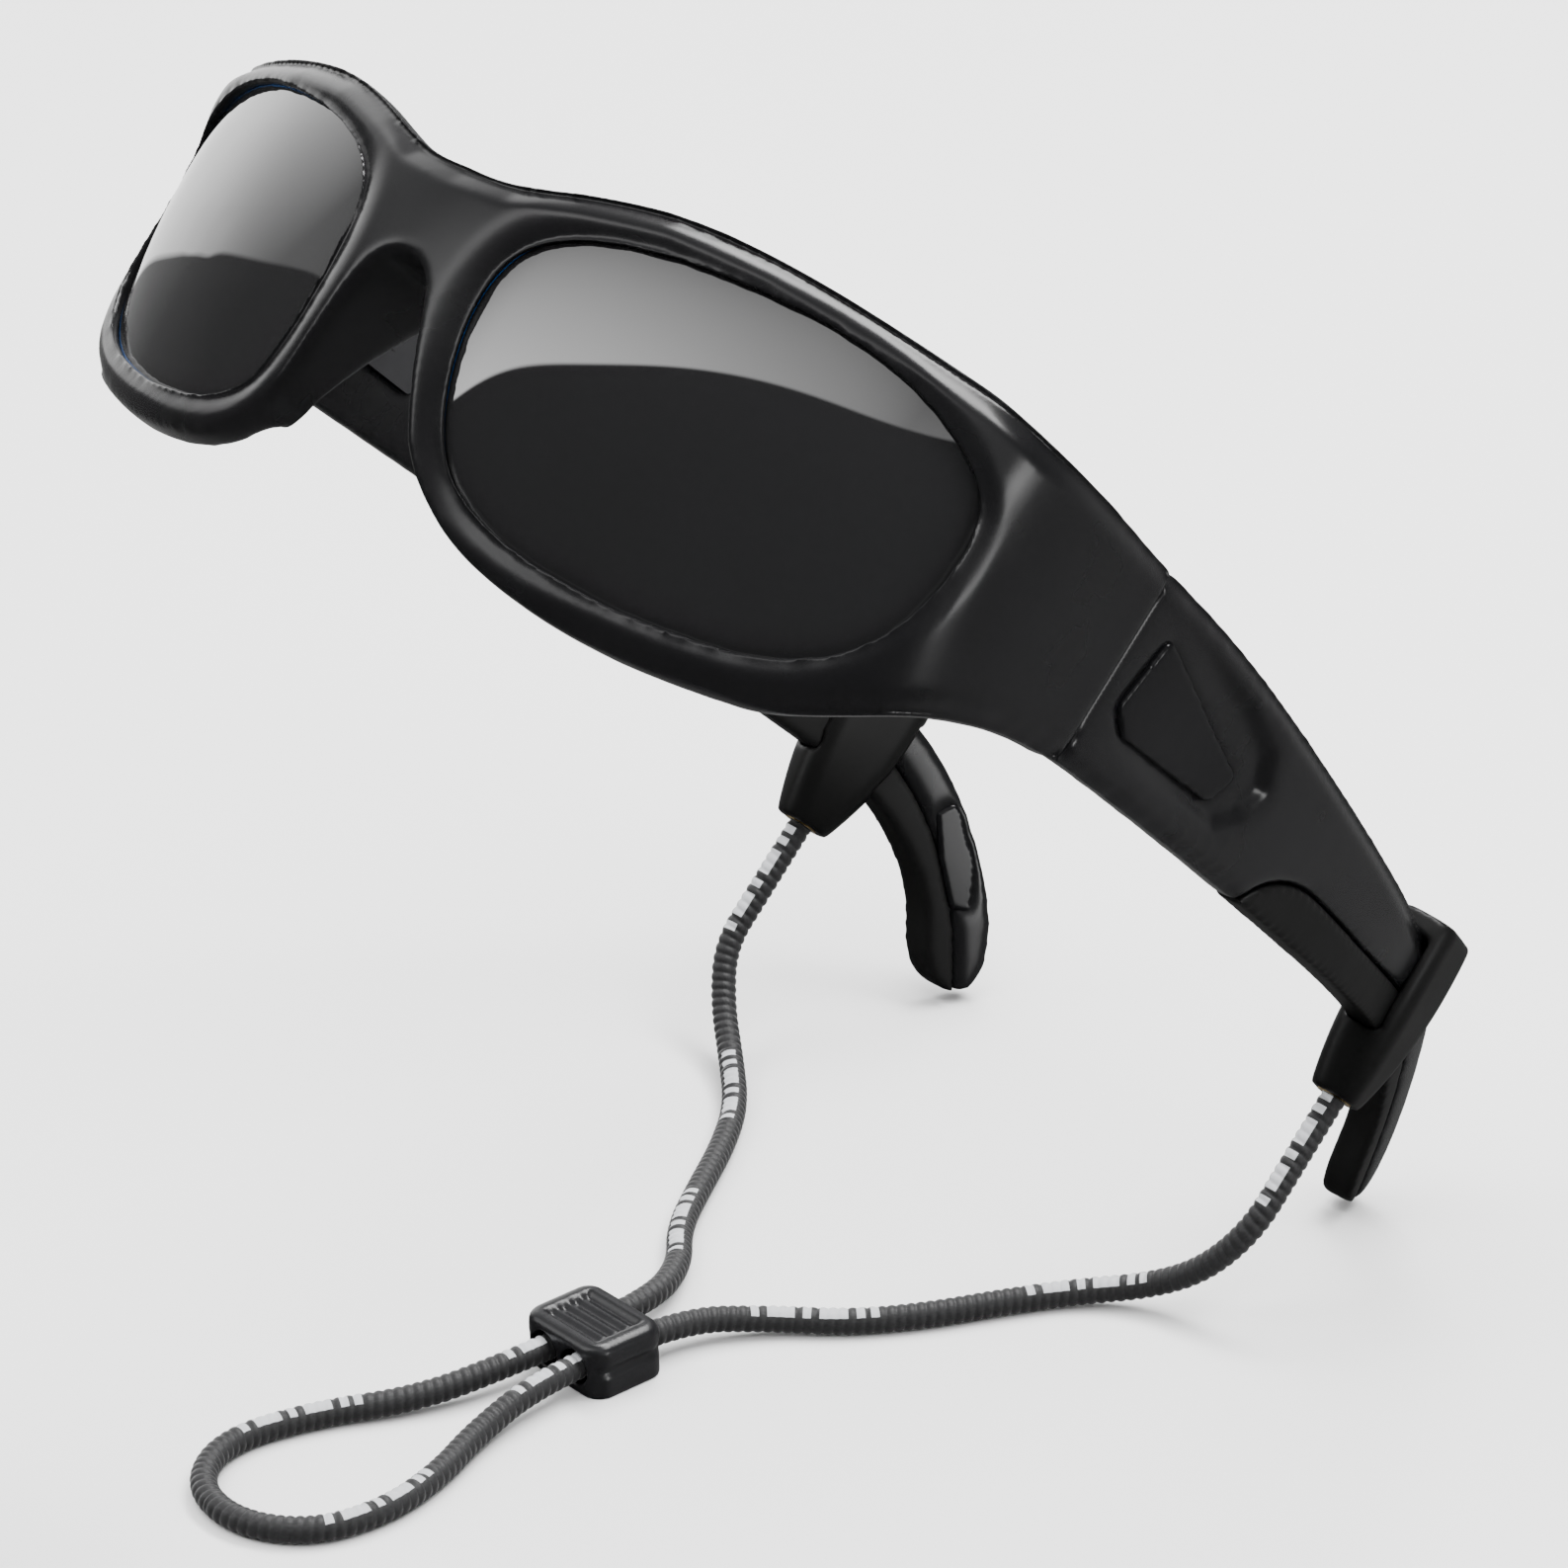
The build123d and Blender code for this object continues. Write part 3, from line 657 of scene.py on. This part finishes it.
LENS_EDGE = closed_curve(LENS_RING, 160)
LENS_SIDEWAYS = np.array([cos(LENS_YAW), sin(LENS_YAW), 0.0])
LENS_OUTWARD = np.array([sin(LENS_YAW), -cos(LENS_YAW), 0.0])


def lens_place(side, u, z, w):
    """The worn point that lies u along a lens's plane, at height z, and w in front of the plane."""
    point = np.asarray(u)[..., None] * LENS_SIDEWAYS + np.asarray(w)[..., None] * LENS_OUTWARD
    point[..., 2] += z
    point[..., 0] *= side
    return point


def make_lens(name, side):
    """A lens: a polar grid laid on the CAD lens's outer face, and closed behind it."""
    mesh = nodes[name].data
    tree = BVHTree.FromPolygons([v.co[:] for v in mesh.vertices], [p.vertices[:] for p in mesh.polygons])
    middle = np.array(LENS_MIDDLE)
    rings = np.sqrt(np.linspace(0, 1, 34)[1:]) * 0.985
    flat = np.vstack([middle[None]] + [middle + (LENS_EDGE - middle) * r for r in rings])
    start = to_stored(lens_place(side, flat[:, 0], flat[:, 1], np.full(len(flat), 60.0)))
    away = to_stored(lens_place(side, np.zeros(1), 0.0, np.full(1, -1.0)))[0] - to_stored([(0, 0, 0)])[0]
    away /= np.linalg.norm(away)
    depth = []
    for point in start:
        hit = tree.ray_cast(Vector(point), Vector(away))
        depth.append(hit[3] if hit[3] is not None else np.nan)
    depth = np.array(depth)
    # A smooth surface in place of the CAD facets.
    u, z = flat[:, 0] / 40 - 1, flat[:, 1] / 20
    terms = np.stack([u**i * z**k for i in range(7) for k in range(3)], 1)
    known = ~np.isnan(depth)
    fit, *_ = np.linalg.lstsq(terms[known], depth[known], rcond=None)
    smooth_depth = terms @ fit
    largest = float(np.abs(smooth_depth - depth)[known].max() / MM)
    print(name, "lens misses", int((~known).sum()), "largest error mm", round(largest, 4))
    outer = start + away * smooth_depth[:, None]
    n = len(LENS_EDGE)
    count = len(outer)
    inner = outer + away * LENS_BODY * MM
    points = np.vstack([outer, inner])
    faces = []
    for k in range(n):
        m = (k + 1) % n
        faces.append((0, 1 + k, 1 + m))
        faces.append((count, count + 1 + m, count + 1 + k))
        for r in range(len(rings) - 1):
            a, b = 1 + r * n, 1 + (r + 1) * n
            faces.append((a + k, b + k, b + m, a + m))
            faces.append((count + a + k, count + a + m, count + b + m, count + b + k))
        a = 1 + (len(rings) - 1) * n
        faces.append((a + k, count + a + k, count + a + m, a + m))
    if side > 0:
        faces = [tuple(reversed(f)) for f in faces]
    piece = mesh_piece("tinted_" + name, points, faces, lens_tint)
    share = np.concatenate([[0], np.repeat(rings, n)])
    share = np.concatenate([share, 0 * share])
    layer = piece.data.uv_layers.new(name="UVMap")
    for loop in piece.data.loops:
        layer.data[loop.index].uv = (share[loop.vertex_index], 0.5)
    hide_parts(name)
    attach(piece, "front")
    return piece


make_lens("lens_left", 1)
make_lens("lens_right", -1)


# ---- Plastic and rubber -----------------------------------------------------------------

BROW_LINE = np.array(
    [(0, 5.8), (8, 6.3), (16, 8.5), (26, 10.7), (38, 11.4), (50, 10.9), (60, 10.2), (74, 9.9)]
)
CORNER_TOP = np.array([(50, 11.9), (57, 10.3), (65, 9.2), (74, 8.4), (90, 7.2)])
CORNER_FOOT = np.array(
    [(50, -28.9), (56, -26.6), (62.5, -22.8), (69.5, -18.5), (75, -16.3), (82, -15), (90, -14)]
)
ARM_TOP = np.array([(52, 7.4), (66, 6.8), (84, 5.1), (106, 2.6), (126, 0.2), (140, -1.9), (151, -5.5)])
ARM_FOOT = np.array([(52, -14.6), (66, -14.1), (88, -13.5), (114, -12.9), (135, -12.7), (145, -13.6)])
BEVEL_SLOPE = 0.62


FRONT_BOW = 0.008
NOSE_PLAN = np.array([(0, 0), (12, 0.8), (20, 2.1)])
POCKET_RING = np.array(
    [(52, 5.6), (64, 5.1), (76, 3.7), (84, 1.4), (87, -2.7), (85.4, -7), (81, -10), (66, -10.7), (52, -11.6)]
)
POCKET_DEPTH = 1.1
POCKET_SLOPE = 2.2  # how wide the pocket's sloping edge is
BROW_WIDTH = 2.7
BROW_NARROWING = 0.5  # how much narrower the brow's bevel is at the seam
FOOT_WIDTH = 2.4
ARM_TOP_WIDTH = 2.1
ARM_FOOT_WIDTH = 1.8
END_TURN = 1.35  # how far the outward direction has turned at the end pieces, radians
RIM_THROUGH = 5.0  # from the front's face to just behind its rims
SURROUND_WIDTH = (1.5, 2.7)  # of the sunk lens surrounds, and how much wider beside the nose
SURROUND_DEPTH = (0.5, 0.75)
END_DROP = 0.05  # the share by which the end pieces' height shrinks at the seam
END_RISE = 0.024
FLANK_TOP, FLANK_FALL, FLANK_OUTER = -9, 12, 24  # where the nose flanks thin out
FLANK_THINNING = 0.85

THUMB_HALF = (4.6, 3.4)  # the slider's thumb recess
THUMB_DEPTH = 0.75
THUMB_RIB = 0.4
THUMB_PITCH = 1.7
WAIST_HEIGHT = 3.2  # the groove round the slider
WAIST_HALF = 0.9
WAIST_DEPTH = 0.45
BORE_EASE = 0.3


def along_line(line, at):
    """The height of a line of points over a place along it."""
    return np.interp(at, line[:, 0], line[:, 1])


def eased(depth):
    """How far a bevel has fallen, from nothing at its crease, with the crease a little softened."""
    return BEVEL_SLOPE * (np.sqrt(np.maximum(depth, 0) ** 2 + 0.01) - 0.1) * (depth > 0)


def carve_front(points, facing):
    """The front's brow crease, sunk lens surrounds, lower bevel, end pieces and nose flanks."""
    side = np.sign(points[:, 0])
    x = np.abs(points[:, 0])
    y, z = points[:, 1], points[:, 2]
    turn = np.clip((x - 10) / 54, 0, 1) ** 2
    outward = np.stack([side * np.sin(turn * END_TURN), -np.cos(turn * END_TURN), np.zeros_like(x)], 1)
    outer = np.clip((np.einsum("ij,ij->i", facing, outward) - 0.35) / 0.3, 0, 1)

    # Lens surrounds: wide beside the nose, narrow at the outer end.
    flat = np.stack([x * cos(LENS_YAW) + y * sin(LENS_YAW), z], 1)
    gap = np.full(len(points), 99.0)
    near = (x > 3) & (y < 34)
    for start in range(0, len(LENS_EDGE), 40):
        part = LENS_EDGE[start : start + 40]
        apart = np.sqrt(((flat[near][:, None] - part[None]) ** 2).sum(2)).min(1)
        gap[near] = np.minimum(gap[near], apart)
    toward_nose = np.clip((40 - flat[:, 0]) / 28, 0, 1)
    width = SURROUND_WIDTH[0] + SURROUND_WIDTH[1] * toward_nose ** 1.5
    share = np.clip(1 - gap / width, 0, 1)
    sunk = (SURROUND_DEPTH[0] + SURROUND_DEPTH[1] * toward_nose) * share ** 1.6

    # Brow and lower edge.
    round_corner = (x + y) / 2 ** 0.5
    top = np.minimum(along_line(BROW_LINE, x), along_line(CORNER_TOP, round_corner))
    near_seam = np.clip((y - 38) / 14, 0, 1)
    brow_width = BROW_WIDTH - BROW_NARROWING * near_seam
    brow = eased(z - (top - brow_width))
    foot = along_line(CORNER_FOOT, round_corner)
    lower = eased((foot + FOOT_WIDTH) - z) * np.clip((x - 48) / 8, 0, 1)
    moved = points - outward * (outer * (sunk + brow + lower))[:, None]

    # The end pieces come down to the temples' height at the seam.
    moved[:, 2] *= 1 - near_seam * np.where(z > 0, END_DROP, END_RISE)

    # The nose flanks thin out toward their lower ends.
    rim_back = along_line(NOSE_PLAN, x) + FRONT_BOW * z * z + RIM_THROUGH
    flank = (x < FLANK_OUTER) & (moved[:, 1] > rim_back)
    low = np.clip((FLANK_TOP - z) / FLANK_FALL, 0, 1)
    kept = 1 - FLANK_THINNING * low * np.clip((FLANK_OUTER - x) / 4, 0, 1)
    moved[flank, 1] = (rim_back + (moved[:, 1] - rim_back) * kept)[flank]
    return moved


def scoop(y):
    """How deep a temple's pocket is below its rim, growing away from the seam."""
    share = np.clip((y - 54) / 22, 0, 1)
    return POCKET_DEPTH * share * share * (3 - 2 * share)


def pocket_share(y, z):
    """Zero outside a temple's pocket, rising to one a little way inside its edge."""
    ring = POCKET_RING
    ahead = np.roll(ring, -1, 0)
    inside = np.zeros(len(y), bool)
    gap = np.full(len(y), 99.0)
    for (y0, z0), (y1, z1) in zip(ring, ahead):
        crosses = (z0 > z) != (z1 > z)
        if z0 != z1:
            inside ^= crosses & (y < y0 + (z - z0) * (y1 - y0) / (z1 - z0))
        if y0 == y1:
            continue  # the pocket is open at the seam
        run_y, run_z = y1 - y0, z1 - z0
        along = np.clip(((y - y0) * run_y + (z - z0) * run_z) / (run_y**2 + run_z**2), 0, 1)
        gap = np.minimum(gap, np.hypot(y - y0 - along * run_y, z - z0 - along * run_z))
    share = np.where(inside, np.clip(gap / POCKET_SLOPE, 0, 1), 0)
    return share * share * (3 - 2 * share)


def sink_badge(points, facing):
    """The badge laid on the pocket's floor."""
    moved = points.copy()
    moved[:, 0] -= np.sign(points[:, 0]) * scoop(points[:, 1])
    return moved


def carve_slider(points, facing):
    """A ribbed thumb recess in the slider's top, and a groove round its waist."""
    x, y, z = (to_stored(points) / MM).T
    up = (to_stored(facing) - to_stored([(0, 0, 0)])) / MM
    top = np.clip((up[:, 2] - 0.4) / 0.3, 0, 1)
    inset = np.minimum(THUMB_HALF[0] - np.abs(x - SLIDER_X), THUMB_HALF[1] - np.abs(y - SLIDER_Y))
    recess = np.clip(inset / 0.6, 0, 1)
    ribs = 0.5 + 0.5 * np.cos((y - SLIDER_Y) * 2 * pi / THUMB_PITCH)
    moved = np.stack([x, y, z - top * recess * (THUMB_DEPTH - THUMB_RIB * ribs)], 1)
    side = np.clip((np.abs(up[:, 0]) - 0.4) / 0.3, 0, 1)
    waist = np.clip(1 - np.abs(z - (FLOOR_Z + WAIST_HEIGHT)) / WAIST_HALF, 0, 1)
    moved[:, 0] -= np.sign(up[:, 0]) * side * waist * WAIST_DEPTH
    # Bores wide enough for the ribs of the cord to pass.
    for bore in (SLIDER_X - BORE_X, SLIDER_X + BORE_X):
        off = moved[:, [0, 2]] - (bore, BORE_Z)
        radius = np.maximum(np.linalg.norm(off, axis=1, keepdims=True), 1e-6)
        moved[:, [0, 2]] += off / radius * BORE_EASE * np.clip((2.5 - radius) / 0.5, 0, 1)
    return to_worn(moved * MM)


def carve_arm(points, facing):
    """The bevels along a temple's upper and lower outer edges, and its scooped pocket."""
    side = np.sign(points[:, 0])
    y, z = points[:, 1], points[:, 2]
    outer = np.clip((facing[:, 0] * side - 0.4) / 0.3, 0, 1)
    outer = outer * (facing[:, 0] * side > 0)
    top = eased(z - (along_line(ARM_TOP, y) - ARM_TOP_WIDTH)) * np.clip((160 - y) / 12, 0, 1)
    foot = eased((along_line(ARM_FOOT, y) + ARM_FOOT_WIDTH) - z) * np.clip((100 - y) / 10, 0, 1)
    pocket = scoop(y) * pocket_share(y, z)
    moved = points.copy()
    moved[:, 0] -= side * outer * (top + foot + pocket)
    return moved


moulded(
    "front_frame", "front", frame_plastic, voxel=0.42, rounds=4,
    shape=carve_front, after=6, extra=20,
)
for end in ("left", "right"):
    body = "temple_" + end
    moulded(
        "temple_arm_" + end, body, frame_plastic, voxel=0.38, rounds=4,
        shape=carve_arm, after=5, extra=20,
    )
    moulded("temple_grip_" + end, body, grip_rubber, voxel=0.38, rounds=10)
    moulded("temple_pad_" + end, body, grip_rubber, voxel=0.3, rounds=3)
    moulded(
        "temple_badge_" + end, body, badge_gloss, voxel=0.3, rounds=2,
        shape=sink_badge, after=2,
    )
    moulded("tip_inlay_" + end, body, badge_gloss, voxel=0.25, rounds=2)
    moulded("cord_sleeve_" + end, body, sleeve_rubber, voxel=0.33, rounds=9)
moulded(
    "cord_slider", "slider", slider_plastic, voxel=0.2, rounds=3,
    shape=carve_slider, after=1,
)


def finish_node(node, material):
    """A better material on a CAD node that stays."""
    if not len(nodes[node].material_slots):
        nodes[node].data.materials.append(material)
    for each in nodes[node].material_slots:
        each.material = material


for end in ("left", "right"):
    finish_node("hinge_front_leaf_" + end, hinge_metal)
    finish_node("hinge_temple_leaf_" + end, hinge_metal)
    finish_node("hinge_screw_" + end, screw_steel)
    finish_node("cord_ferrule_" + end, ferrule_brass)
